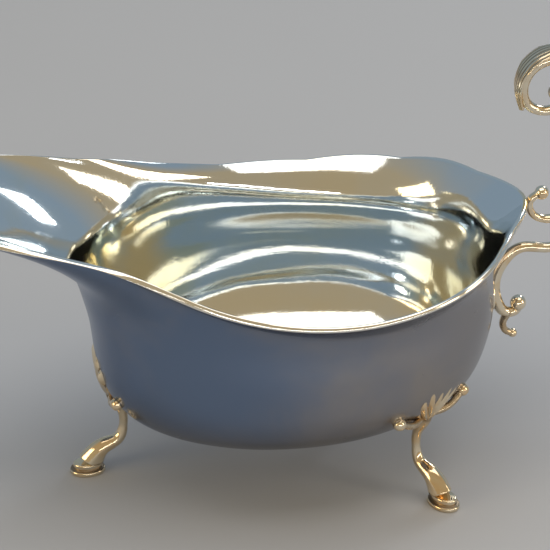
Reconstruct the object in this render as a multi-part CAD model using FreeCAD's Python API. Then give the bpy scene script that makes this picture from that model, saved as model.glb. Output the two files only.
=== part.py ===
import FreeCAD, Part
import math
import os

# A silver sauce boat on three legs, in millimetres. The spout points along -X, the handle along +X,
# Z is up and the feet stand on Z = 0. The pieces are soldered together: nothing moves.

V = FreeCAD.Vector
UP = V(0, 0, 1)

# ---- bowl: plan rings (front end, back end, half width) at heights above the bowl's underside ----
stand_height = 16.5
wall = 1.1
rim_wall = 1.5
lower_rings = [
    (-24.0, 29.0, 15.0, 0.0),
    (-35.0, 41.0, 24.5, 2.0),
    (-42.0, 49.0, 32.0, 6.0),
    (-46.5, 54.5, 38.2, 13.0),
    (-48.3, 57.4, 41.4, 22.0),
    (-49.2, 58.3, 41.8, 31.0),
]
neck_ring = (-51.0, 58.0, 40.6, 39.0)

# The rim, from the spout's tip round one side to the back tip: station, half width, height.
rim_stations = [
    (-92.5, 0.0, 87.5),
    (-88.5, 14.5, 87.0),
    (-72.0, 25.3, 84.5),
    (-48.0, 30.6, 79.2),
    (-24.0, 39.4, 70.0),
    (6.0, 45.8, 65.0),
    (30.0, 43.0, 66.0),
    (48.0, 32.8, 69.0),
    (60.0, 16.5, 72.2),
    (67.2, 0.0, 72.9),
]
# From the neck to the rim the wall goes up fast and out slowly at first, which gives the flare its hollow.
flare_rows = 5
flare_out_power = 1.75
flare_up_power = 0.87
# The cut rim's shallow lobes meet at points, given as shares of the way from spout tip to back tip.
cusp_shares = [0.40, 0.51, 0.64, 0.77, 0.90]
lobe_rise = 0.9

# ---- legs: measured outward from the knuckle point and up from the table ----
front_leg_axis = -20.0
rear_leg_axis = 16.5
rear_leg_angle = 54.0
knuckle_height = 24.0
knuckle_proud = 1.6
ankle_radius = 1.15
ankle_height = 14.0
ankle_inset = 3.6
cuff_length = 7.0
cuff_width = 6.0
cuff_height = 3.4
cuff_reach = 5.6
hoof_length = 9.6
hoof_width = 7.0
hoof_sole = 1.4
hoof_inset = 0.9
hoof_toe = 0.9
hoof_height = 3.2

# ---- shell knuckles ----
shell_height = 14.6
shell_width = 14.0
shell_depth = 3.4
shell_ribs = 7
shell_spread = 52.0
shell_root_depth = 1.6
shell_root = 1.5
shell_root_share = 0.1
shell_rows = 14
rib_groove = 0.9

# ---- scroll wings beside each shell ----
wing_reach = 9.6
wing_rise = 2.2
wing_wire = 0.95
wing_ball = 1.75

# ---- handle ----
handle_reach = 92.5
stem_radius = 2.3
volute_centre = (71.3, 103.4)
volute_radii = [9.6, 8.2, 6.9, 6.0, 5.2, 2.2]
lower_height = 47.4
solder_bite = 0.3
spur_curl = 2.4
spur_radius = 1.2
spur_ball = 1.9
volute_radius = 1.5
volute_ball = 2.3
lower_scroll_radius = 1.45
lower_ball = 2.2
leaf_width = 8.4
leaf_thickness = 1.3
curl_radius = 0.95
curl_ball = 1.25
boss_width = 8.6
boss_height = 9.5
boss_depth = 1.4
boss_root = 3.0
boss_drop = 3.0

ring_points = 80
roof_height = 130.0


def closed_curve(points, parameters=None):
    curve = Part.BSplineCurve()
    if parameters is None:
        curve.interpolate(Points=points, PeriodicFlag=True)
    else:
        curve.interpolate(Points=points, PeriodicFlag=True, Parameters=parameters)
    return curve


def ring_samples(half):
    """Points spread evenly by length round an outline that is the same on both sides."""
    other = [V(p.x, -p.y, p.z) for p in reversed(half[1:-1])]
    return closed_curve(half + other).toShape().discretize(Number=ring_points + 1)[:-1]


def plan_ring(front, back, half_width, height):
    """An egg-like plan ring at a height above the bowl's underside."""
    middle = (front + back) / 2
    reach = (back - front) / 2
    steps = 8
    half = []
    for k in range(steps + 1):
        angle = math.pi * (1 - k / steps)
        half.append(V(middle + reach * math.cos(angle), half_width * math.sin(angle), stand_height + height))
    return ring_samples(half)


def between(lower, upper, out_share, up_share):
    """A ring part of the way from one to another, with its own shares outward and upward."""
    ring = []
    for a, b in zip(lower, upper):
        step = b - a
        ring.append(V(a.x + step.x * out_share, a.y + step.y * out_share, a.z + step.z * up_share))
    return ring


def lobed(inner, rim):
    """The cut rim: it swells along the flare between its cusps into shallow lobes."""
    half = ring_points // 2
    cusps = [round(share * half) for share in cusp_shares]
    ring = list(rim)
    for start, end in zip(cusps[:-1], cusps[1:]):
        for k in range(start + 1, end):
            rise = lobe_rise * math.sin(math.pi * (k - start) / (end - start))
            for j in (k, ring_points - k):
                ring[j] = rim[j] + (rim[j] - inner[j]).normalize() * rise
    return ring


def bowl_rings():
    neck = plan_ring(*neck_ring)
    rim = ring_samples([V(*station) for station in rim_stations])
    shares = [k / flare_rows for k in range(1, flare_rows)]
    flares = [between(neck, rim, t**flare_out_power, t**flare_up_power) for t in shares]
    rings = [plan_ring(*ring) for ring in lower_rings]
    return rings + [neck] + flares + [lobed(flares[-1], rim)]


def skin(rings):
    """A smooth surface through rings: splines up the wall first, then closed splines round it."""
    steps = [0.0]
    for lower, upper in zip(rings[:-1], rings[1:]):
        gaps = [math.sqrt((b - a).Length) for a, b in zip(lower, upper)]
        steps.append(steps[-1] + sum(gaps) / len(gaps))
    ups = []
    for column in zip(*rings):
        curve = Part.BSplineCurve()
        curve.interpolate(Points=list(column), Parameters=steps)
        ups.append(curve)
    turns = [k / ring_points for k in range(ring_points + 1)]
    arounds = [closed_curve(list(row), turns) for row in zip(*[curve.getPoles() for curve in ups])]
    surface = Part.BSplineSurface()
    surface.buildFromPolesMultsKnots(
        [curve.getPoles() for curve in arounds],
        ups[0].getMultiplicities(),
        arounds[0].getMultiplicities(),
        ups[0].getKnots(),
        arounds[0].getKnots(),
        False,
        True,
        ups[0].Degree,
        arounds[0].Degree,
    )
    return surface, steps, turns


def flat_face(curve):
    return Part.Face(Part.Wire([curve.toShape()]))


def closed_solid(faces):
    shell = Part.makeShell(faces)
    shell.sewShape(0.001)
    solid = Part.makeSolid(shell)
    if solid.Volume < 0:
        solid.reverse()
    return solid


def filled(surface, top, roof):
    """The solid under a skin, closed by its flat base and by a straight collar up to a flat roof."""
    base = surface.uIso(0.0)
    rim = surface.uIso(top)
    lid = rim.copy()
    for k, pole in enumerate(rim.getPoles()):
        lid.setPole(k + 1, V(pole.x, pole.y, roof))
    collar = Part.makeRuledSurface(rim.toShape(), lid.toShape())
    return closed_solid([surface.toShape(), flat_face(base), collar, flat_face(lid)])


def inner_rings(surface, steps, turns):
    """The bowl's inner side: the skin moved in by the wall, which thickens towards the rim."""
    inner = []
    for u in steps:
        depth = wall + (rim_wall - wall) * max(0.0, 2 * u / steps[-1] - 1)
        ring = []
        for v in turns[:-1]:
            point = surface.value(u, v)
            up, around = surface.tangent(u, v)
            normal = up.cross(around).normalize()
            if normal.dot(V(point.x, point.y, point.z - rim_stations[0][2])) < 0:
                normal = normal * -1
            ring.append(point - normal * depth)
        inner.append(ring)
    for p in inner[0]:
        p.z = stand_height + wall
    return inner


def make_bowl():
    """Returns the filled outer form below the neck, used to seat other pieces, and the bowl itself."""
    outer, steps, turns = skin(bowl_rings())
    inner, inner_steps, inner_turns = skin(inner_rings(outer, steps, turns))
    top, inner_top = steps[-1], inner_steps[-1]
    rim = Part.makeRuledSurface(outer.uIso(top).toShape(), inner.uIso(inner_top).toShape())
    floors = [flat_face(outer.uIso(0.0)), flat_face(inner.uIso(0.0))]
    bowl = closed_solid([outer.toShape(), inner.toShape(), rim] + floors)
    length = 2 * max(-rim_stations[0][0], rim_stations[-1][0])
    below_neck = Part.makeBox(length, length, neck_ring[3] + 5, V(-length / 2, -length / 2, stand_height - 5))
    return filled(outer, top, roof_height).common(below_neck), bowl


def surface_reach(form, origin, direction):
    """How far a level ray from inside a form runs before it leaves it."""
    ray = Part.makeLine(origin, origin + direction * 200)
    return ray.common(form).Edges[0].Length


def section(centre, along, across, half_across, half_thick):
    """An oval section at a centre, square to a direction; across is its wider side's direction."""
    thick = along.cross(across).normalize()
    major, minor = (half_across, half_thick), (across, thick)
    if half_thick > half_across:
        major, minor = (half_thick, half_across), (thick, across)
    major_point = centre + minor[0] * major[0]
    minor_point = centre + minor[1] * major[1]
    if abs(half_across - half_thick) < 0.001:
        return Part.Wire([Part.Circle(centre, along, half_across).toShape()])
    return Part.Wire([Part.Ellipse(major_point, minor_point, centre).toShape()])


def tapered_bar(path, widths, depths, count):
    """A bar along a curved path in the XZ plane. Widths lie across the plane, depths within it.

    Both are lists spaced evenly by length along the path.
    """
    curve = Part.BSplineCurve()
    curve.interpolate([V(x, 0, z) for x, z in path])
    length = curve.length()
    wires = []
    for k in range(count + 1):
        parameter = curve.parameterAtDistance(length * k / count, curve.FirstParameter)
        centre = curve.value(parameter)
        along = curve.tangent(parameter)[0]
        width = graded(widths, k / count)
        depth = graded(depths, k / count)
        wires.append(section(centre, along, V(0, 1, 0), width, depth))
    return Part.makeLoft(wires, True, False)


def graded(values, share):
    """Reads a list of values as a graph, straight between its evenly spaced entries."""
    place = share * (len(values) - 1)
    low = min(int(place), len(values) - 2)
    return values[low] + (values[low + 1] - values[low]) * (place - low)


def ball(x, z, radius, y=0.0):
    return Part.makeSphere(radius, V(x, y, z))


def whole(shape):
    """The one solid that a cut or a fusion leaves."""
    return max(shape.Solids, key=lambda solid: solid.Volume)


# ---- legs, each made facing +X with the knuckle point at x = 0, then turned into place ----
def leg_bar():
    path = [
        (-1.5, knuckle_height + 4.5),
        (-1.2, knuckle_height),
        (-ankle_inset + 0.4, knuckle_height - 5.0),
        (-ankle_inset, ankle_height),
        (-ankle_inset + 1.6, ankle_height - 4.2),
        (cuff_reach - 3.6, cuff_height + hoof_height + 1.2),
        (cuff_reach, hoof_height + 0.2),
    ]
    widths = [2.6, 2.2, 1.4, ankle_radius, 1.7, 2.5, cuff_width / 2]
    depths = [2.0, 1.9, 1.3, ankle_radius, 1.7, 2.4, cuff_length / 2]
    bar = tapered_bar(path, widths, depths, 24)
    below = Part.makeBox(60, 60, 60, V(-30, -30, hoof_height - 60))
    return whole(bar.cut(below))


def oval_block(centre_x, length, width, low, high):
    ellipse = Part.Ellipse(V(centre_x + length / 2, 0, low), V(centre_x, width / 2, low), V(centre_x, 0, low))
    return Part.Face(Part.Wire([ellipse.toShape()])).extrude(UP * (high - low))


def hoof_block():
    """The oval foot: a sole and an inset upper, both pushed out past the cuff to make a toe."""
    centre = cuff_reach + hoof_toe
    sole = oval_block(centre, hoof_length, hoof_width, 0, hoof_sole)
    upper_length = hoof_length - 2 * hoof_inset
    upper = oval_block(centre, upper_length, hoof_width - 2 * hoof_inset, hoof_sole, hoof_height)
    return sole.fuse(upper).removeSplitter()


def shell_row(share):
    """One arc across the shell's ribs, which all point back to its root, on the way from root to tip."""
    apex = shell_root / math.tan(math.radians(shell_spread))
    radius = shell_width / 2
    centre = shell_height - radius + apex
    groove = rib_groove * min(1.0, 2 * share)
    steps = 6 * shell_ribs
    row = []
    for k in range(steps + 1):
        side = 2 * k / steps - 1
        turn = math.radians(shell_spread * side)
        edge = centre * math.cos(turn) + math.sqrt(radius**2 - (centre * math.sin(turn)) ** 2)
        reach = edge * (shell_root_share + (1 - shell_root_share) * share)
        height = reach * math.cos(turn) - apex
        rise = height / shell_height
        swell = shell_depth * (0.55 + 1.6 * rise - 1.75 * rise**2)
        rib = abs(math.cos(math.pi / 2 * side * shell_ribs)) ** 1.5
        across = 1 - side**4
        row.append(V(across * (swell - groove * (1 - rib)), reach * math.sin(turn), height))
    return row


def flattened(surface, depth):
    """The same patch pressed flat behind the shell."""
    flat = surface.copy()
    for i, row in enumerate(surface.getPoles()):
        for j, pole in enumerate(row):
            flat.setPole(i + 1, j + 1, V(-depth, pole.y, pole.z))
    return flat


def shell_fan(lean):
    """A ribbed front over a flat back that is sunk into the bowl, leaning with the bowl's side."""
    front = Part.BSplineSurface()
    front.interpolate([shell_row(k / shell_rows) for k in range(shell_rows + 1)])
    back = flattened(front, shell_root_depth)
    faces = [front.toShape(), back.toShape()]
    for end in (0.0, 1.0):
        faces.append(Part.makeRuledSurface(front.uIso(end).toShape(), back.uIso(end).toShape()))
        faces.append(Part.makeRuledSurface(front.vIso(end).toShape(), back.vIso(end).toShape()))
    solid = closed_solid(faces)
    solid.rotate(V(0, 0, 0), V(0, 1, 0), lean)
    solid.translate(V(-knuckle_proud, 0, knuckle_height))
    return solid


def scroll_wing(side, form, place):
    """A small bar that runs out along the bowl from the shell's foot to a ball, on one side."""
    height = knuckle_height + wing_rise
    start = V(-knuckle_proud + 0.6, side * 1.2, knuckle_height + 0.8)
    origin = place.multVec(V(-20, side * wing_reach, height))
    outward = place.Rotation.multVec(V(1, 0, 0))
    reach = surface_reach(form, origin, outward) - 20
    end = V(reach + wing_ball * 0.35, side * wing_reach, height)
    curve = Part.BSplineCurve()
    curve.interpolate([start, (start + end) / 2 + V(0.9, 0, -1.1), end])
    rings = []
    for k in range(7):
        parameter = curve.FirstParameter + (curve.LastParameter - curve.FirstParameter) * k / 6
        circle = Part.Circle(curve.value(parameter), curve.tangent(parameter)[0], wing_wire)
        rings.append(Part.Wire([circle.toShape()]))
    return Part.makeLoft(rings, True, False).fuse(Part.makeSphere(wing_ball, end))


def make_leg(name, axis_x, angle, form):
    turn = FreeCAD.Rotation(UP, angle)
    direction = turn.multVec(V(1, 0, 0))
    reach = surface_reach(form, V(axis_x, 0, knuckle_height), direction)
    reach_above = surface_reach(form, V(axis_x, 0, knuckle_height + shell_height), direction)
    lean = math.degrees(math.atan2(reach_above - reach, shell_height))
    origin = V(axis_x, 0, 0) + direction * (reach + knuckle_proud)
    place = FreeCAD.Placement(origin, turn)
    leg, hoof, shell = leg_bar(), hoof_block(), shell_fan(lean)
    wings = [scroll_wing(side, form, place) for side in (-1, 1)]
    for piece in [leg, hoof, shell] + wings:
        piece.Placement = place.multiply(piece.Placement)
    leg = whole(leg.cut(form))
    shell = whole(shell.cut(form).cut(leg))
    wings = [whole(wing.cut(form).cut(shell).cut(leg)) for wing in wings]
    return {
        name + "_leg": leg,
        name + "_hoof": hoof,
        name + "_shell": shell,
        name + "_scrolls": Part.makeCompound(wings),
    }


# ---- handle, all in the middle plane ----
def loop_points(centre, radii, first, step):
    """Points of a scroll round a centre: one radius per point, the angle growing by a fixed step."""
    points = []
    for k, radius in enumerate(radii):
        angle = math.radians(first + step * k)
        points.append((centre[0] + radius * math.cos(angle), centre[1] + radius * math.sin(angle)))
    return points


def main_scroll(bowl):
    """From a ball at the rim's back tip, round under it, out, up and over to the volute."""
    tip_x, tip_z = rim_stations[-1][0], rim_stations[-1][2]
    spur_x = tip_x + spur_radius + spur_curl - solder_bite
    spur_z = tip_z + 0.6
    path = [
        (spur_x + 0.6, spur_z + 0.4),
        (spur_x - spur_curl, spur_z - 1.6),
        (spur_x - 1.6, spur_z - 5.6),
        (spur_x + 3.0, spur_z - 7.6),
        (handle_reach - 13.5, spur_z - 6.0),
        (handle_reach - 4.4, spur_z + 2.5),
        (handle_reach - stem_radius, spur_z + 15.0),
        (handle_reach - 6.2, spur_z + 30.0),
    ]
    path += loop_points(volute_centre, volute_radii, 70, 55)
    widths = [spur_radius, spur_radius, 1.7, 2.2, stem_radius, stem_radius * 1.1, stem_radius * 1.15]
    widths += [stem_radius, 2.0, 1.8, volute_radius, volute_radius]
    bar = tapered_bar(path, widths, [w * 0.86 for w in widths], 72)
    end = path[-1]
    bar = bar.fuse(ball(path[0][0], path[0][1], spur_ball)).fuse(ball(end[0], end[1], volute_ball))
    return whole(bar.cut(bowl))


def lower_scroll(form, main):
    """A C that opens outward: its back on the bowl, a ball inside its foot, its head on the main scroll."""
    back = surface_reach(form, V(0, 0, lower_height), V(1, 0, 0)) + lower_scroll_radius - solder_bite
    path = [
        (back + 7.0, lower_height - 6.6),
        (back + 6.4, lower_height - 8.8),
        (back + 4.0, lower_height - 9.2),
        (back + 1.2, lower_height - 5.8),
        (back, lower_height),
        (back + 1.8, lower_height + 6.0),
        (back + 6.6, lower_height + 10.4),
        (back + 14.4, lower_height + 9.8),
        (handle_reach - 11.0, lower_height + 13.8),
        (handle_reach - 7.6, rim_stations[-1][2] - 5.0),
    ]
    radii = [lower_scroll_radius * k for k in (0.9, 1.1, 1.15, 1.1, 1.0, 1.0, 1.0, 0.9)]
    bar = tapered_bar(path, radii, radii, 40)
    bar = bar.fuse(ball(path[0][0], path[0][1], lower_ball))
    return whole(bar.cut(form).cut(main))


def leaf_cap(main):
    """The leaf laid over the volute: it lifts off the scroll and ends free below the volute."""
    radii = [r + volute_radius + leaf_thickness * 0.3 for r in volute_radii[:4]]
    radii = [radii[0] + 1.6, radii[0] + 0.2] + [radii[1], radii[2] - 0.2, radii[3] + 0.6]
    path = loop_points(volute_centre, radii, 45, 42)
    widths = [leaf_width * k / 2 for k in (0.5, 0.85, 1.0, 0.8, 0.25)]
    depths = [leaf_thickness * k / 2 for k in (0.8, 1.0, 1.2, 1.1, 0.8)]
    return whole(tapered_bar(path, widths, depths, 24).cut(main))


def lower_curl(form, scroll):
    """The small curl with a ball that hangs under the lower scroll."""
    top_x = surface_reach(form, V(0, 0, lower_height), V(1, 0, 0)) + 6.0
    top_z = lower_height - 10.0
    path = [(top_x, top_z), (top_x - 1.8, top_z - 2.6), (top_x - 0.9, top_z - 5.0), (top_x + 1.1, top_z - 6.0)]
    bar = tapered_bar(path, [1.6, 1.4, 1.1, curl_radius], [curl_radius] * 4, 12)
    bar = bar.fuse(ball(path[-1][0], path[-1][1], curl_ball))
    return whole(bar.cut(scroll).cut(form))


def handle_boss(form, scroll):
    """The oval boss on the bowl's back that the lower scroll is soldered to."""
    height = lower_height - boss_drop
    reach = surface_reach(form, V(0, 0, height), V(1, 0, 0))
    major, minor = V(0, 0, boss_height / 2), V(0, boss_width / 2, 0)
    oval = Part.Ellipse(major, minor, V(0, 0, 0)).toShape()
    plate = Part.Face(Part.Wire([oval])).extrude(V(boss_depth + boss_root, 0, 0))
    plate.translate(V(reach - boss_root, 0, height))
    return whole(plate.cut(form).cut(scroll))


def centred(pieces):
    """Moves the whole boat so that the middle of its box stands on the origin."""
    box = FreeCAD.BoundBox()
    for piece in pieces.values():
        box.add(piece.optimalBoundingBox())
    shift = V(-box.Center.x, -box.Center.y, -box.ZMin)
    return {name: piece.translated(shift) for name, piece in pieces.items()}


def make_boat():
    form, bowl = make_bowl()
    pieces = {"bowl": bowl}
    pieces.update(make_leg("front", front_leg_axis, 180, form))
    # the boat is the same on both sides, so the right leg is the left one mirrored
    for name, piece in make_leg("rear_left", rear_leg_axis, -rear_leg_angle, form).items():
        pieces[name] = piece
        pieces[name.replace("left", "right")] = piece.mirror(V(0, 0, 0), V(0, 1, 0))
    main = main_scroll(bowl)
    lower = lower_scroll(form, main)
    pieces["handle_main_scroll"] = main
    pieces["handle_lower_scroll"] = lower
    pieces["handle_leaf"] = leaf_cap(main)
    pieces["handle_lower_curl"] = lower_curl(form, lower)
    pieces["handle_boss"] = handle_boss(form, lower)
    return centred(pieces)


os.makedirs("parts", exist_ok=True)
for piece_name, piece in make_boat().items():
    print(piece_name, piece.isValid(), round(piece.Volume, 1))
    piece.exportStep("parts/" + piece_name + ".step")
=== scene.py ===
import math
import bpy
import bmesh
import numpy as np
from mathutils import Matrix, Vector
from mathutils.bvhtree import BVHTree


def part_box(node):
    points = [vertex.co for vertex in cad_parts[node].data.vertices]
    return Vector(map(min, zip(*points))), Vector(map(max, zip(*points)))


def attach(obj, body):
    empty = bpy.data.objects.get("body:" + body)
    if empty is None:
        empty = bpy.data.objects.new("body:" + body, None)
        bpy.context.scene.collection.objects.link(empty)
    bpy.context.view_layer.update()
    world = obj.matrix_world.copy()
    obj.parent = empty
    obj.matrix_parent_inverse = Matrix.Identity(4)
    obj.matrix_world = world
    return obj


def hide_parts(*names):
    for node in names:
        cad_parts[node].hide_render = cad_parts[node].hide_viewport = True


# Silver sauce boat on three shell-kneed legs. Sizes below are in millimetres, spout towards -X,
# handle towards +X, and every piece is made in the CAD model's place.

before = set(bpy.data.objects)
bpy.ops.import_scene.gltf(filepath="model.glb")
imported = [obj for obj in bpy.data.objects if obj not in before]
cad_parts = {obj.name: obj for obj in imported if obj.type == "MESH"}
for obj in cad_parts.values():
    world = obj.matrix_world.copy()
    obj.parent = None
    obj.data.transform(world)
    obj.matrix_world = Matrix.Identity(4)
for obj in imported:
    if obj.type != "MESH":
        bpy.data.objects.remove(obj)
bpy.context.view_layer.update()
mm = 0.001


def evenCurve(points, count, closed=False):
    # smooth curve through the points, read off at evenly spaced places
    p = np.array(points, float)
    if closed:
        p = np.vstack([p, p[:1]])
    gap = np.linalg.norm(np.diff(p, axis=0), axis=1)
    knot = np.concatenate([[0], np.cumsum(gap)])
    n = len(p)
    a = np.zeros((n, n))
    b = np.zeros(p.shape)
    for i in range(1, n - 1):
        a[i, i - 1:i + 2] = gap[i - 1], 2 * (gap[i - 1] + gap[i]), gap[i]
        b[i] = 6 * ((p[i + 1] - p[i]) / gap[i] - (p[i] - p[i - 1]) / gap[i - 1])
    a[0, 0] = a[-1, -1] = 1
    if closed:
        a[0, -1] = -1
        a[-1, [0, 1, -2, -1]] = 2 * gap[0], gap[0], gap[-1], 2 * gap[-1]
        b[-1] = 6 * ((p[1] - p[0]) / gap[0] - (p[-1] - p[-2]) / gap[-1])
    bend = np.linalg.solve(a, b)
    fine = np.linspace(0, knot[-1], 80 * n)
    k = np.clip(np.searchsorted(knot, fine, side="right") - 1, 0, n - 2)
    h = gap[k][:, None]
    u = (knot[k + 1] - fine)[:, None]
    w = (fine - knot[k])[:, None]
    q = (bend[k] * u**3 + bend[k + 1] * w**3) / (6 * h)
    q += (p[k] / h - bend[k] * h / 6) * u + (p[k + 1] / h - bend[k + 1] * h / 6) * w
    length = np.concatenate([[0], np.cumsum(np.linalg.norm(np.diff(q, axis=0), axis=1))])
    at = np.linspace(0, length[-1], count + 1 if closed else count)[:count]
    return np.column_stack([np.interp(at, length, q[:, j]) for j in range(q.shape[1])])


def graded(values, share):
    return float(np.interp(share, np.linspace(0, 1, len(values)), values))


def smooth(low, high, value):
    t = min(max((value - low) / (high - low), 0.0), 1.0)
    return t * t * (3 - 2 * t)


def unit(v):
    return v / np.maximum(np.linalg.norm(v, axis=-1, keepdims=True), 1e-9)


def sectionRing(centre, across, thick, halfAcross, halfThick, sides, crest=2.0, back=2.0):
    # an oval: a crest under 2 makes that side more pointed, a back over 2 makes it squarer
    ring = []
    for k in range(sides):
        a = 2 * math.pi * k / sides
        c, s = math.cos(a), math.sin(a)
        power = 2 / (crest if s > 0 else back)
        ring.append(centre + across * (halfAcross * math.copysign(abs(c)**power, c))
                    + thick * (halfThick * math.copysign(abs(s)**power, s)))
    return ring


def ringsAlong(path, widths, depths, rows=80, sides=32, hint=(0, 1, 0), crest=(2.0,), back=(2.0,),
               headBall=0.0, tailBall=0.0):
    # rings square to a path, with a round ball grown on either end
    pts = evenCurve(path, rows)
    along = unit(np.gradient(pts, axis=0))
    hint = np.array(hint, float)
    rings = []
    for k in range(rows):
        share = k / (rows - 1)
        across = unit(hint - along[k] * hint.dot(along[k]))
        thick = np.cross(along[k], across)
        w, d = graded(widths, share), graded(depths, share)
        if headBall and np.linalg.norm(pts[k] - pts[0]) < math.sqrt(max(headBall**2 - w * d, 0)):
            continue
        if tailBall and np.linalg.norm(pts[k] - pts[-1]) < math.sqrt(max(tailBall**2 - w * d, 0)):
            continue
        rings.append(sectionRing(pts[k], across, thick, w, d, sides,
                                 graded(crest, share), graded(back, share)))
    for ball, end, sign in ((headBall, 0, -1), (tailBall, -1, 1)):
        if not ball:
            continue
        axis = along[end] * sign
        across = unit(hint - axis * hint.dot(axis))
        thick = np.cross(along[end], across)
        neck = math.asin(min((widths[end] + depths[end]) / 2 / ball, 0.95))
        turned = []
        for k in range(19):
            a = neck + (math.pi - neck - 0.03) * k / 18
            r = ball * math.sin(a)
            turned.append(sectionRing(pts[end] - axis * ball * math.cos(a), across, thick, r, r, sides))
        rings = turned[::-1] + rings if end == 0 else rings + turned
    return rings


def loft(rings, tones=None, closeStart=True, closeEnd=True):
    # a circle placed on the first ring, then pulled out ring by ring
    bm = bmesh.new()
    tone = bm.verts.layers.float.new("tone")
    loop = bmesh.ops.create_circle(bm, segments=len(rings[0]), radius=1)["verts"]
    edges = list(bm.edges)
    for row, ring in enumerate(rings):
        if row:
            new = bmesh.ops.extrude_edge_only(bm, edges=edges)["geom"]
            fresh = {g for g in new if isinstance(g, bmesh.types.BMVert)}
            loop = [next(e.other_vert(v) for e in v.link_edges if e.other_vert(v) in fresh)
                    for v in loop]
            edges = [g for g in new if isinstance(g, bmesh.types.BMEdge)]
            edges = [e for e in edges if e.verts[0] in fresh and e.verts[1] in fresh]
        for j, v in enumerate(loop):
            v.co = Vector(ring[j]) * mm
            if tones is not None:
                v[tone] = float(tones[row][j] if np.ndim(tones[row]) else tones[row])
        if (row == 0 and closeStart) or (row == len(rings) - 1 and closeEnd):
            bmesh.ops.contextual_create(bm, geom=edges)
    bmesh.ops.recalc_face_normals(bm, faces=bm.faces)
    return bm


def finished(bm, name, material, nodes):
    mesh = bpy.data.meshes.new(name)
    bm.to_mesh(mesh)
    bm.free()
    mesh.materials.append(material)
    mesh.polygons.foreach_set("use_smooth", [True] * len(mesh.polygons))
    piece = bpy.data.objects.new(name, mesh)
    bpy.context.scene.collection.objects.link(piece)
    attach(piece, "root")
    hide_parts(*nodes)
    return piece


class Value:
    # wraps a socket, so that sums on it add Math nodes
    def __init__(self, maker, socket):
        self.maker = maker
        self.socket = socket

    def maths(self, operation, first, second):
        out = self.maker.node("ShaderNodeMath", {"operation": operation}, {0: first, 1: second})
        return out.value(0)

    def __add__(self, other):
        return self.maths("ADD", self, other)

    __radd__ = __add__

    def __mul__(self, other):
        return self.maths("MULTIPLY", self, other)

    __rmul__ = __mul__

    def __sub__(self, other):
        return self.maths("SUBTRACT", self, other)

    def __rsub__(self, other):
        return self.maths("SUBTRACT", other, self)


class Added:
    def __init__(self, maker, node):
        self.maker = maker
        self.node = node

    def value(self, key):
        return Value(self.maker, self.node.outputs[key])


class NodeMaker:
    # adds nodes to one node tree
    def __init__(self, tree):
        self.tree = tree

    def node(self, kind, settings=None, sockets=None):
        made = self.tree.nodes.new(kind)
        for key, setting in (settings or {}).items():
            if key == "stops":
                ramp = made.color_ramp
                for stop, (place, colour) in zip(ramp.elements, setting):
                    stop.position = place
                    stop.color = (*colour, 1)
            else:
                setattr(made, key, setting)
        for key, socket in (sockets or {}).items():
            if isinstance(socket, Value):
                self.tree.links.new(socket.socket, made.inputs[key])
            else:
                made.inputs[key].default_value = socket
        return Added(self, made)


class Finish(NodeMaker):
    # one material and the nodes added to it
    def __init__(self, name):
        self.material = bpy.data.materials.new(name)
        self.material.use_nodes = True
        super().__init__(self.material.node_tree)
        self.shader = self.tree.nodes["Principled BSDF"]
        self.place = self.node("ShaderNodeTexCoord").value("Object")

    def feed(self, key, source):
        if isinstance(source, Value):
            self.tree.links.new(source.socket, self.shader.inputs[key])
        else:
            self.shader.inputs[key].default_value = source

    def noise(self, scale, detail=3.0, rough=0.55, stretch=(1, 1, 1), twist=0.0):
        placed = self.node("ShaderNodeMapping", None, {
            "Vector": self.place, "Scale": stretch,
        }).value("Vector")
        return self.node("ShaderNodeTexNoise", None, {
            "Vector": placed, "Scale": scale, "Detail": detail, "Roughness": rough, "Distortion": twist,
        }).value("Fac")

    def between(self, source, low, high, start=0.0, end=1.0):
        settings = {"clamp": True, "interpolation_type": "SMOOTHSTEP"}
        return self.node("ShaderNodeMapRange", settings, {
            "Value": source, "From Min": low, "From Max": high, "To Min": start, "To Max": end,
        }).value("Result")

    def mix(self, factor, first, second):
        made = self.node("ShaderNodeMix", {"data_type": "RGBA"}, {0: factor})
        for key, colour in ((6, first), (7, second)):
            if isinstance(colour, Value):
                self.tree.links.new(colour.socket, made.node.inputs[key])
            else:
                made.node.inputs[key].default_value = (*colour, 1)
        return made.value(2)

    def attribute(self, name):
        return self.node("ShaderNodeAttribute", {"attribute_name": name}).value("Fac")

    def bump(self, height, strength, distance):
        return self.node("ShaderNodeBump", None, {
            "Height": height, "Strength": strength, "Distance": distance,
        }).value("Normal")


bowlFinish = dict(
    inside=(0.80, 0.83, 0.83),
    # warm tone inside, also used as painted warm reflection on the back inner wall
    insideWarmToneAndReflection=(0.93, 0.80, 0.48),
    # outside: dark blue-grey, painted shade and painted reflection of blue surroundings
    outside=(0.17, 0.23, 0.35),
    # warm tone and painted warm reflection on the outside towards the handle
    outsideWarmToneAndReflection=(0.40, 0.36, 0.32),
    # painted shade low on the outside
    outsideLowShade=(0.20, 0.18, 0.18),
    rim=(0.93, 0.90, 0.82),
    gold=(0.95, 0.66, 0.24),
    insideRough=0.12,
    outsideRough=0.24,
)


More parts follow.
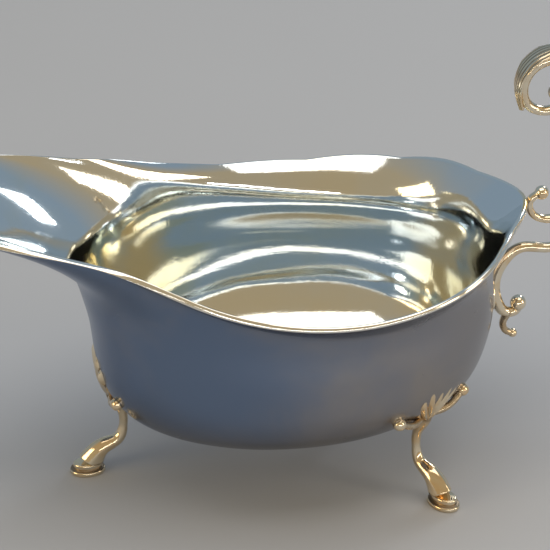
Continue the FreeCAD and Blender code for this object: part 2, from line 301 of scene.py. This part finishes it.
def bowlSilver():
    f = bowlFinish
    s = Finish("raisedSilver")
    wall = s.attribute("tone")  # 0 under the bowl, 1 on the rim's edge, 2 at the bottom inside
    inner = s.between(wall, 0.985, 1.0)
    edge = s.between(wall, 0.975, 0.99) * (1 - s.between(wall, 1.002, 1.02))
    broad = s.noise(24, 4, 0.6, twist=0.4)
    patches = s.between(broad, 0.42, 0.72)
    cloud = s.noise(70, 5, 0.6)
    along = s.node("ShaderNodeSeparateXYZ", None, {0: s.place})
    station, height = along.value("X"), along.value("Z")
    # painted warm reflection: the outside warms towards the handle
    paintedHandleSideReflection = s.between(station + (broad - 0.5) * 0.05, -0.030, 0.055)
    # painted shade: the outside darkens towards the bottom
    low = 1 - s.between(height + (broad - 0.5) * 0.012, 0.018, 0.040)
    # the outside's dark blue-grey is painted shade and painted reflection
    outside = s.mix(paintedHandleSideReflection * 0.75 + patches * 0.25, f["outside"], f["outsideWarmToneAndReflection"])
    outside = s.mix(low * 0.45, outside, f["outsideLowShade"])
    # painted warm reflection on the back inner wall, near the handle
    paintedBackWallReflection = s.between(station + (broad - 0.5) * 0.012, 0.036, 0.046) * s.between(wall, 1.30, 1.36)
    paintedBackWallReflection = paintedBackWallReflection * (1 - s.between(wall, 1.80, 1.90))
    inside = s.mix(patches * 0.30 + paintedBackWallReflection * 0.70, f["inside"], f["insideWarmToneAndReflection"])
    colour = s.mix(inner, outside, inside)
    colour = s.mix(edge, colour, f["rim"])
    wear = s.between(s.noise(38, 2, 0.5), 0.62, 0.70) * edge
    colour = s.mix(wear, colour, f["gold"])
    s.feed("Base Color", colour)
    hairs = s.noise(900, 2, 0.6, (0.12, 1, 1)) * 0.5 + s.noise(1100, 2, 0.6, (1, 1, 0.15)) * 0.5
    rough = inner * (f["insideRough"] - f["outsideRough"]) + f["outsideRough"]
    rough = rough + (cloud - 0.5) * 0.10 + (hairs - 0.5) * 0.06
    s.feed("Roughness", s.between(rough, 0.03, 0.45, 0.03, 0.45))
    s.feed("Normal", s.bump(hairs, 0.06, 0.0004))
    s.feed("Metallic", 1.0)
    return s.material


# the castings' warm golden tone is partly their own and partly painted warm reflection
castFinish = dict(
    legs=(0.88, 0.76, 0.56),
    handle=(0.90, 0.80, 0.62),
    warm=(0.88, 0.66, 0.40),
    deep=(0.20, 0.14, 0.09),
    rough=0.13,
)


def castSilver(name, clean):
    f = castFinish
    s = Finish(name)
    recess = s.attribute("tone")
    broad = s.noise(110, 4, 0.6, twist=0.5)
    # warm golden tone: partly the metal's own, partly painted warm reflection
    colour = s.mix(s.between(broad, 0.38, 0.68), clean, f["warm"])
    grime = s.noise(420, 4, 0.6)
    dark = s.between(recess * (grime * 0.8 + 0.6), 0.15, 0.85)
    colour = s.mix(dark * 0.85, colour, f["deep"])
    s.feed("Base Color", colour)
    pits = s.noise(1500, 3, 0.6)
    s.feed("Roughness", s.between(dark * 0.25 + grime * 0.10 + (f["rough"] - 0.05), 0.03, 0.5, 0.03, 0.5))
    s.feed("Normal", s.bump(pits * 0.5 + grime, 0.10, 0.0004))
    s.feed("Metallic", 1.0)
    return s.material


raisedSilver = bowlSilver()
legSilver = castSilver("castSilver", castFinish["legs"])
handleSilver = castSilver("handleSilver", castFinish["handle"])
print("silver mixed")


bowl = dict(
    underside=16.5,
    lowerRings=[  # front end, back end, half width, height over the underside
        (-24.0, 29.0, 15.0, 0.0), (-35.0, 41.0, 24.5, 2.0), (-42.0, 49.0, 32.0, 6.0),
        (-46.5, 54.5, 38.2, 13.0), (-48.3, 57.4, 41.4, 22.0), (-49.2, 58.3, 41.8, 31.0),
    ],
    neck=(-51.0, 58.0, 40.6, 39.0),
    rim=[  # station along the boat, half width, height
        (-92.5, 0.0, 87.5), (-88.5, 14.5, 87.0), (-72.0, 25.3, 84.5), (-48.0, 30.6, 79.2),
        (-24.0, 39.4, 70.0), (6.0, 45.8, 65.0), (30.0, 43.0, 66.0), (48.0, 32.8, 69.0),
        (60.0, 16.5, 72.2), (67.2, 0.0, 72.9),
    ],
    flareRows=5,
    outPower=1.75,
    upPower=0.87,
    cusps=(0.40, 0.51, 0.64, 0.77, 0.90),
    lobeRise=0.9,
    floorShares=(0.03, 0.3, 0.65),
    floorSag=0.7,
    wall=1.1,
    rimWall=1.5,
    hammering=0.035,
    around=264,
    rows=76,
)
rimTip = bowl["rim"][-1]  # the rim's back tip: station, half width, height
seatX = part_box("bowl")[1].x / mm - rimTip[0]  # how far the CAD model's own middle moved it


def planLoop(front, back, half, height, count):
    middle, reach = (front + back) / 2, (back - front) / 2
    loop = []
    for k in range(16):
        a = math.pi * (1 - k / 8)
        loop.append((middle + reach * math.cos(a), half * math.sin(a), bowl["underside"] + height))
    return evenCurve(loop, count, closed=True)


def bowlColumns():
    b = bowl
    n = b["around"]
    front, back, half, _ = b["lowerRings"][0]
    middle = (front + back) / 2
    rings = []
    for share in b["floorShares"]:
        sag = -b["floorSag"] * (1 - share**2)
        ends = [middle + (end - middle) * share for end in (front, back)]
        rings.append(planLoop(*ends, half * share, sag, n))
    rings += [planLoop(*ring, n) for ring in b["lowerRings"]]
    neck = planLoop(*b["neck"], n)
    half = b["rim"]
    rim = evenCurve(half + [(x, -y, z) for x, y, z in half[-2:0:-1]], n, closed=True)
    rings.append(neck)
    for k in range(1, b["flareRows"]):
        t = k / b["flareRows"]
        out, up = t**b["outPower"], t**b["upPower"]
        rings.append(neck + (rim - neck) * np.array([out, out, up]))
    cusps = [round(share * n / 2) for share in b["cusps"]]
    towards = unit(rim - rings[-1])
    rise = np.zeros(n)
    for start, end in zip(cusps[:-1], cusps[1:]):
        for k in range(start + 1, end):
            t = (k - start) / (end - start)
            rise[k] = rise[n - k] = b["lobeRise"] * math.sin(math.pi * t)
    rings.append(rim + towards * rise[:, None])
    return np.array([evenCurve([ring[k] for ring in rings], b["rows"]) for k in range(n)]).swapaxes(0, 1)


def makeBowl():
    b = bowl
    outer = bowlColumns() + np.array([seatX, 0, 0])
    rows = len(outer)
    up = unit(np.gradient(outer, axis=0))
    around = unit(np.roll(outer, -1, axis=1) - np.roll(outer, 1, axis=1))
    normal = unit(np.cross(up, around))
    if normal[rows // 2, 0, 0] > 0:
        normal = -normal
    normal[0] = (0, 0, -1)
    # the raiser's hammer leaves faint hollows
    x, y, z = outer[..., 0], outer[..., 1], outer[..., 2]
    hollow = np.sin(x / 4.1 + 1.3 * np.sin(y / 7)) * np.sin(y / 3.7 + 0.9 * np.sin(z / 6))
    hollow = hollow + np.sin(z / 3.3 + x / 9)
    fade = np.array([smooth(0.02, 0.2, r / rows) * (1 - smooth(0.9, 1.0, r / rows)) for r in range(rows)])
    outer = outer + normal * (b["hammering"] * (hollow * fade[:, None])[..., None])
    thicker = [max(0.0, 2 * r / (rows - 1) - 1) for r in range(rows)]
    depth = b["wall"] + (b["rimWall"] - b["wall"]) * np.array(thicker)
    inner = outer - normal * depth[:, None, None]
    rings = list(outer[:-1])
    tones = [0.97 * r / (rows - 1) for r in range(rows - 1)]
    # the edge is rounded over, its top on the CAD rim
    roundOver = b["rimWall"] * 0.42
    middle = (outer[-1] + inner[-1]) / 2 - up[-1] * roundOver
    for k in range(9):
        a = math.pi * k / 8
        rings.append(middle + normal[-1] * (b["rimWall"] / 2 * math.cos(a))
                     + up[-1] * (roundOver * math.sin(a)))
        tones.append(0.98 + 0.03 * k / 8)
    rings += list(inner[-2::-1])
    tones += [2 - 0.97 * r / (rows - 1) for r in range(rows - 2, -1, -1)]
    bm = loft(rings, tones)
    skin = loft(list(outer), closeEnd=False)
    print("bowl raised,", len(bm.faces), "faces")
    return bm, BVHTree.FromBMesh(skin)


bowlMesh, bowlSkin = makeBowl()
finished(bowlMesh, "bowlBody", raisedSilver, ["bowl"])
bowlMiddle = (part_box("bowl")[0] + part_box("bowl")[1]) / 2


def outsideReach(origin, direction):
    # distance from a point inside the bowl to its outer side, along a level ray
    hit = bowlSkin.ray_cast(origin + direction * 0.2, -direction)[0]
    return (hit - origin).length / mm


solder = dict(bite=0.45, shellBite=0.1)  # how far a casting may go into the bowl's wall


def soldered(bm, bite=solder["bite"]):
    # what would show inside the bowl is pressed back into its wall
    bmesh.ops.poke(bm, faces=[f for f in bm.faces if len(f.verts) > 4])
    for v in bm.verts:
        near, normal, _, _ = bowlSkin.find_nearest(v.co)
        if normal.dot(near - bowlMiddle) < 0:
            normal = -normal
        if (v.co - near).dot(normal) < -bite * mm:
            v.co = near - normal * bite * mm
    return bm


leg = dict(
    knuckleHeight=24.0,
    knuckleProud=1.6,
    hoofOut=6.5,  # hoof's middle, out from the knuckle
    path=[(-1.5, 28.5), (-1.2, 24.0), (-3.2, 19.0), (-3.6, 14.0), (-2.0, 9.8), (2.0, 7.8), (5.6, 3.4)],
    widths=(2.6, 2.2, 1.4, 1.15, 1.7, 2.5, 3.0),
    depths=(2.0, 1.9, 1.3, 1.15, 1.7, 2.4, 3.5),
    crest=(2.0, 2.0, 2.0, 1.9, 1.75, 1.65, 1.6),
    back=(2.0, 2.0, 2.0, 2.1, 2.2, 2.3, 2.4),
)
hoof = dict(
    sole=(9.6, 7.0, 0.0, 1.4),  # length, width, bottom, top
    pad=(7.8, 5.2, 1.4, 3.2),
    round=0.55,
    waist=0.35,
)
shell = dict(
    height=16.5,
    width=14.0,
    depth=3.4,
    ribs=7,
    spread=52.0,
    rootDepth=1.6,
    root=1.5,
    groove=0.95,
    frill=0.035,
)
wing = dict(reach=12.0, rise=4.4, wire=0.95, ball=1.75)
legPlaces = dict(  # facing angle, and how far the shell leans back with the bowl's side
    front=(180.0, 13.0),
    rear_left=(-54.0, 18.8),
    rear_right=(54.0, 18.8),
)


def legPlace(name):
    angle = math.radians(legPlaces[name][0])
    low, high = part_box(name + "_hoof")
    outward = Vector((math.cos(angle), math.sin(angle), 0))
    origin = (low + high) / 2 - outward * leg["hoofOut"] * mm
    origin.z = 0
    return Matrix.Translation(origin) @ Matrix.Rotation(angle, 4, "Z")


def makeLeg(place):
    l = leg
    path = [(x, 0, z) for x, z in l["path"]]
    bm = loft(ringsAlong(path, l["widths"], l["depths"], rows=64, sides=48, crest=l["crest"], back=l["back"]))
    tone = bm.verts.layers.float["tone"]
    # the cuff is cut level where it stands on the hoof
    cut = bmesh.ops.bisect_plane(bm, geom=bm.verts[:] + bm.edges[:] + bm.faces[:], dist=1e-6,
                                 plane_co=(0, 0, hoof["pad"][3] * mm), plane_no=(0, 0, -1), clear_outer=True)
    edges = [g for g in cut["geom_cut"] if isinstance(g, bmesh.types.BMEdge)]
    bmesh.ops.contextual_create(bm, geom=edges)
    sharp = [e for e in bm.edges if len(e.link_faces) == 2 and e.calc_face_angle(0) > math.radians(38)]
    bmesh.ops.bevel(bm, geom=sharp, offset=0.28 * mm, segments=3, profile=0.5, affect="EDGES", material=-1)
    for v in bm.verts:
        x, z = v.co.x / mm, v.co.z / mm
        knuckleGrime, cuffGrime = 0.75 * smooth(22, 26, z), 0.55 * (1 - smooth(3.2, 4.6, z))
        v[tone] = knuckleGrime + cuffGrime + 0.25 * smooth(0.5, -2.5, x - 0.2 * z)
    bmesh.ops.recalc_face_normals(bm, faces=bm.faces)
    bm.transform(place)
    return bm


def makeHoof(place):
    h = hoof
    rings, tones = [], []
    for (length, width, low, high), last in ((h["sole"], False), (h["pad"], True)):
        r = min(h["round"], (high - low) / 2)
        steps = [math.pi / 2 * k / 5 for k in range(6)]
        heights = [(low + r - r * math.cos(a), r - r * math.sin(a)) for a in steps]
        heights += [(high - r + r * math.sin(a), r - r * math.cos(a)) for a in steps]
        for z, inset in heights:
            ring = []
            for k in range(56):
                a = 2 * math.pi * k / 56
                toe = 1 + 0.05 * math.cos(a)  # a touch fuller towards the toe
                x = leg["hoofOut"] + (length / 2 - inset) * math.cos(a)
                ring.append(np.array([x, (width / 2 - inset) * math.sin(a) * toe, z]))
            rings.append(ring)
            grimy = 0 if last and z > 3 else 1
            tones.append(0.9 * smooth(0.35, 0.0, min(abs(z - low), abs(z - high))) * grimy)
    bm = loft(rings, tones)
    bm.transform(place)
    return bm


def makeShell(place, lean):
    s = shell
    columns, rows = s["ribs"] * 14, 40
    bm = bmesh.new()
    tone = bm.verts.layers.float.new("tone")
    bmesh.ops.create_grid(bm, x_segments=columns, y_segments=rows, size=0.5)
    apex = s["root"] / math.tan(math.radians(s["spread"]))
    radius = s["width"] / 2
    centre = s["height"] - radius + apex
    for v in bm.verts:
        side, out = 2 * v.co.x, v.co.y + 0.5
        turn = math.radians(s["spread"]) * side
        rib = abs(math.cos(math.pi / 2 * side * s["ribs"]))
        edge = centre * math.cos(turn) + math.sqrt(max(radius**2 - (centre * math.sin(turn))**2, 0))
        reach = edge * (1 - s["frill"] * (1 - rib)) * (0.10 + 0.90 * out)
        high = reach * math.cos(turn) - apex
        share = min(max(high / s["height"], 0), 1)
        swell = s["depth"] * (0.55 + 1.6 * share - 1.75 * share**2) * (1 - side**4)
        tip = math.sqrt(max(1 - max((out - 0.86) / 0.14, 0)**2, 0))
        groove = s["groove"] * (1 - rib) * smooth(0.0, 0.35, out)
        grooveGrime = smooth(0.55, 1.0, 1 - rib) * (0.35 + 0.65 * smooth(0.05, 0.4, out))
        v[tone] = grooveGrime + 0.5 * smooth(0.25, 0.0, out)
        v.co = Vector(((swell - groove) * tip, reach * math.sin(turn), high)) * mm
    rim = [e for e in bm.edges if e.is_boundary]
    new = bmesh.ops.extrude_edge_only(bm, edges=rim)["geom"]
    for v in {g for g in new if isinstance(g, bmesh.types.BMVert)}:
        v.co.x = -s["rootDepth"] * mm
        v[tone] = 1.0
    bmesh.ops.contextual_create(bm, geom=[e for e in bm.edges if e.is_boundary])
    bmesh.ops.recalc_face_normals(bm, faces=bm.faces)
    tilt = Matrix.Rotation(math.radians(lean), 4, "Y")
    bm.transform(place @ Matrix.Translation((-leg["knuckleProud"] * mm, 0, leg["knuckleHeight"] * mm)) @ tilt)
    return bm


def makeWings(place):
    w = wing
    both = None
    for side in (-1, 1):
        height = leg["knuckleHeight"] + w["rise"]
        inside = place @ (Vector((-20, side * w["reach"], height)) * mm)
        outward = place.to_3x3() @ Vector((1, 0, 0))
        out = outsideReach(inside, outward) - 20 + w["ball"] * 0.35
        end = np.array([out, side * w["reach"], height])
        start = np.array([-leg["knuckleProud"] + 0.6, side * 1.2, leg["knuckleHeight"] + 0.8])
        middle = (start + end) / 2 + np.array([0.9, 0, -1.1])
        rings = ringsAlong([start, middle, end], [w["wire"]] * 2, [w["wire"]] * 2,
                           rows=26, sides=28, hint=(0, 0, 1), tailBall=w["ball"])
        tones = [0.5 if k < len(rings) - 17 else 0.1 for k in range(len(rings))]
        bm = loft(rings, tones)
        if both is None:
            both = bm
        else:
            mesh = bpy.data.meshes.new("spare")
            bm.to_mesh(mesh)
            both.from_mesh(mesh)
            bpy.data.meshes.remove(mesh)
            bm.free()
    both.transform(place)
    return both


for name, (_, lean) in legPlaces.items():
    place = legPlace(name)
    for bm, piece, node in (
        (soldered(makeLeg(place)), "Cabriole", "_leg"),
        (makeHoof(place), "Pad", "_hoof"),
        (soldered(makeShell(place, lean), solder["shellBite"]), "Scallop", "_shell"),
        (soldered(makeWings(place)), "Curls", "_scrolls"),
    ):
        finished(bm, name + piece, legSilver, [name + node])
print("legs cast")

handle = dict(
    reach=92.5,
    tip=(rimTip[0], rimTip[2]),
    stem=2.3,
    spurCurl=2.4,
    spurRadius=1.2,
    spurBall=1.9,
    voluteCentre=(71.3, 103.4),
    voluteRadii=(9.6, 8.2, 6.9, 6.0, 5.2, 2.2),
    voluteBall=2.3,
    lowerHeight=47.4,
    lowerRadius=1.45,
    lowerBall=2.2,
    leafWidth=8.4,
    leafThick=1.3,
    curlRadius=0.95,
    curlBall=1.25,
    boss=(8.6, 9.5, 1.4),  # width, height, how far it stands off the bowl
    bossDrop=3.0,
)


def loopPath(centre, radii, first, step):
    turns = [math.radians(first + step * k) for k in range(len(radii))]
    return [(centre[0] + r * math.cos(a), centre[1] + r * math.sin(a)) for r, a in zip(radii, turns)]


def standing(path):
    return [(x + seatX, 0, z) for x, z in path]


def backReach(height):
    return outsideReach(Vector((0, 0, height * mm)), Vector((1, 0, 0))) - seatX


def makeMainScroll():
    h = handle
    x, z = h["tip"][0] + h["spurRadius"] + h["spurCurl"] - 0.3, h["tip"][1] + 0.6
    out = h["reach"]
    path = [(x + 0.6, z + 0.4), (x - h["spurCurl"], z - 1.6), (x - 1.6, z - 5.6), (x + 3.0, z - 7.6),
            (out - 13.5, z - 6.0), (out - 4.4, z + 2.5), (out - h["stem"], z + 15.0), (out - 6.2, z + 30.0)]
    path += loopPath(h["voluteCentre"], h["voluteRadii"], 70, 55)
    widths = [1.2, 1.2, 1.7, 2.2, 2.3, 2.53, 2.65, 2.3, 2.0, 1.8, 1.5, 1.5]
    depths = [w * 0.86 for w in widths]
    rings = ringsAlong(standing(path), widths, depths, rows=190, sides=40,
                       headBall=h["spurBall"], tailBall=h["voluteBall"],
                       crest=(2, 2, 2, 1.8, 1.6, 1.6, 1.6, 1.7, 1.9, 2))
    count = len(rings)
    tones = []
    for k, ring in enumerate(rings):
        late = smooth(0.72, 0.95, k / count) * 0.5
        tones.append([late * max(0.0, math.sin(2 * math.pi * j / 40))**2 for j in range(40)])
    return loft(rings, tones)


def makeLowerScroll():
    h = handle
    z, out = h["lowerHeight"], h["reach"]
    back = backReach(z) + h["lowerRadius"] - 0.3
    path = [(back + 7.0, z - 6.6), (back + 6.4, z - 8.8), (back + 4.0, z - 9.2),
            (back + 1.2, z - 5.8), (back, z), (back + 1.8, z + 6.0), (back + 6.6, z + 10.4),
            (back + 14.4, z + 9.8), (out - 11.0, z + 13.8), (out - 7.6, h["tip"][1] - 5.0)]
    radii = [h["lowerRadius"] * k for k in (0.9, 1.1, 1.15, 1.1, 1.0, 1.0, 1.0, 0.9)]
    rings = ringsAlong(standing(path), radii, radii, rows=130, sides=36,
                       headBall=h["lowerBall"], crest=(1.8,))
    return loft(rings, [[0.35 * max(0.0, -math.sin(2 * math.pi * j / 36)) for j in range(36)] for _ in rings])


def makeLeaf():
    h = handle
    r = [k + 1.5 + h["leafThick"] * 0.3 for k in h["voluteRadii"][:4]]
    path = loopPath(h["voluteCentre"], [r[0] + 1.6, r[0] + 0.2, r[1], r[2] - 0.2, r[3] + 0.6], 45, 42)
    rows, sides = 90, 72
    pts = evenCurve(standing(path), rows)
    along = unit(np.gradient(pts, axis=0))
    across = np.array([0.0, 1.0, 0.0])
    rings, tones = [], []
    for k in range(rows):
        t = k / (rows - 1)
        thick = np.cross(along[k], across)
        half = h["leafWidth"] / 2 * graded((0.5, 0.85, 1.0, 0.8, 0.25), t)
        notch = 1 - 0.10 * abs(math.sin(math.pi * 5 * t)) * smooth(0, 0.15, t)  # lobed sides
        deep = h["leafThick"] / 2 * graded((0.8, 1.0, 1.2, 1.1, 0.8), t)
        ring, tone = [], []
        for j in range(sides):
            a = 2 * math.pi * j / sides
            c, s = math.cos(a), math.sin(a)
            vein = 0.5 - 0.5 * math.cos(6 * math.pi * c)
            cut = 0.30 * vein * smooth(0.02, 0.2, t) * (1 if s < 0 else 0)  # fluted on its outer side
            lift = deep * math.copysign(abs(s)**0.7, s) * (1 - cut) + 0.5 * (c * c) * deep
            ring.append(pts[k] + across * (half * notch * c) + thick * lift)
            tone.append(0.8 * vein * (1 if s < 0 else 0.6))
        rings.append(ring)
        tones.append(tone)
    return loft(rings, tones)


def makeLowerCurl():
    h = handle
    x, z = backReach(h["lowerHeight"]) + 6.0, h["lowerHeight"] - 10.0
    path = [(x, z + 1.2), (x - 1.8, z - 2.6), (x - 0.9, z - 5.0), (x + 1.1, z - 6.0)]
    rings = ringsAlong(standing(path), [1.6, 1.4, 1.1, 0.95], [h["curlRadius"]] * 4,
                       rows=36, sides=28, tailBall=h["curlBall"])
    return loft(rings, [0.45 if k < len(rings) - 16 else 0.1 for k in range(len(rings))])


def makeBoss():
    h = handle
    width, high, proud = h["boss"]
    z = h["lowerHeight"] - h["bossDrop"]
    reach = backReach(z) + seatX
    rings, tones = [], []
    profile = [(-2.5, 1.0), (-0.2, 1.0), (0.35, 1.0), (0.6, 0.985), (0.75, 0.95), (0.8, 0.88),
               (0.72, 0.82), (0.8, 0.76)]
    for k in range(1, 11):
        a = math.pi / 2 * k / 10
        profile.append((0.8 + 0.6 * math.sin(a), 0.76 * math.cos(a * 0.985)))
    for out, share in profile:
        ring = []
        for k in range(48):
            a = 2 * math.pi * k / 48
            ring.append((reach + out * proud / 1.4, width / 2 * share * math.cos(a),
                         z + high / 2 * share * math.sin(a)))
        rings.append([np.array(p) for p in ring])
        tones.append(0.9 if abs(share - 0.82) < 0.03 or out < 0.2 else 0.05)
    return loft(rings, tones)


for build, name, node in (
    (makeMainScroll, "mainScroll", "handle_main_scroll"),
    (makeLowerScroll, "lowerScroll", "handle_lower_scroll"),
    (makeLeaf, "voluteLeaf", "handle_leaf"),
    (makeLowerCurl, "lowerCurl", "handle_lower_curl"),
    (makeBoss, "handleBoss", "handle_boss"),
):
    piece = build() if name in ("mainScroll", "voluteLeaf") else soldered(build())
    finished(piece, name, handleSilver, [node])
print("handle bent and soldered")

studio = dict(
    floor=(0.50, 0.51, 0.54),
    floorSize=2.4,
    cool=(0.24, 0.31, 0.38),
    warm=(0.40, 0.33, 0.22),
    fade=(0.36, 0.66),  # where the sky turns from warm to cool, front to back
    target=(0.0001, 0.0, 0.056),
    distance=0.600,
    turn=10.0,
    height=30.0,
    lens=149.9,
    sensor=36,
)
lamps = dict(  # place, aim, size, watts, colour
    ceiling=((0.0, -0.10, 1.20), (0.0, 0.0, 0.05), (1.3, 0.8), 5.5, (1.0, 0.98, 0.95)),
    window=((0.62, 0.66, 0.52), (0.0, 0.0, 0.06), (0.16, 0.30), 1.5, (0.92, 0.96, 1.0)),
    strip=((0.20, -1.25, 0.30), (0.0, 0.0, 0.07), (1.5, 0.07), 2.5, (0.95, 0.97, 1.0)),
    warmWall=((-1.05, -0.35, 0.35), (0.0, 0.0, 0.06), (0.5, 0.5), 2.5, (1.0, 0.82, 0.50)),
    fill=((0.95, -0.55, 0.40), (0.0, 0.0, 0.05), (0.30, 0.6), 2.0, (1.0, 0.88, 0.72)),
)


def makeFloor():
    bm = bmesh.new()
    bmesh.ops.create_grid(bm, x_segments=8, y_segments=8, size=studio["floorSize"])
    mesh = bpy.data.meshes.new("floor")
    bm.to_mesh(mesh)
    bm.free()
    s = Finish("paleFloor")
    soft = s.noise(6, 3, 0.5)
    r, g, b = studio["floor"]
    s.feed("Base Color", s.mix(soft, (r * 0.97, g * 0.97, b * 0.97), (r * 1.03, g * 1.03, b * 1.03)))
    s.feed("Roughness", 0.8)
    mesh.materials.append(s.material)
    floor = bpy.data.objects.new("floor", mesh)
    bpy.context.scene.collection.objects.link(floor)


def makeSky():
    # cool light from behind the boat, warm from in front of it
    world = bpy.data.worlds.new("studio")
    world.use_nodes = True
    s = NodeMaker(world.node_tree)
    place = s.node("ShaderNodeTexCoord").value("Generated")
    depth = s.node("ShaderNodeSeparateXYZ", None, {0: place}).value("Y") * 0.5 + 0.5
    warmEnd, coolEnd = studio["fade"]
    stops = [(warmEnd, studio["warm"]), (coolEnd, studio["cool"])]
    sky = s.node("ShaderNodeValToRGB", {"stops": stops}, {0: depth}).value("Color")
    s.tree.links.new(sky.socket, s.tree.nodes["Background"].inputs["Color"])
    bpy.context.scene.world = world


def aimed(thing, place, target):
    thing.location = place
    thing.rotation_euler = (Vector(target) - Vector(place)).to_track_quat("-Z", "Y").to_euler()
    bpy.context.scene.collection.objects.link(thing)


makeFloor()
makeSky()
for name, (place, target, (wide, tall), watts, colour) in lamps.items():
    lamp = bpy.data.lights.new(name, "AREA")
    lamp.shape = "RECTANGLE"
    lamp.size, lamp.size_y = wide, tall
    lamp.energy = watts
    lamp.color = colour
    aimed(bpy.data.objects.new(name, lamp), place, target)

camera = bpy.data.cameras.new("camera")
camera.lens = studio["lens"]
camera.sensor_width = studio["sensor"]
turn, rise = math.radians(studio["turn"]), math.radians(studio["height"])
away = Vector((-math.sin(turn) * math.cos(rise), -math.cos(turn) * math.cos(rise), math.sin(rise)))
target = Vector(studio["target"])
cameraObject = bpy.data.objects.new("camera", camera)
aimed(cameraObject, target + away * studio["distance"], target)
bpy.context.scene.camera = cameraObject
bpy.context.scene.view_settings.view_transform = "Standard"
print("studio lit")
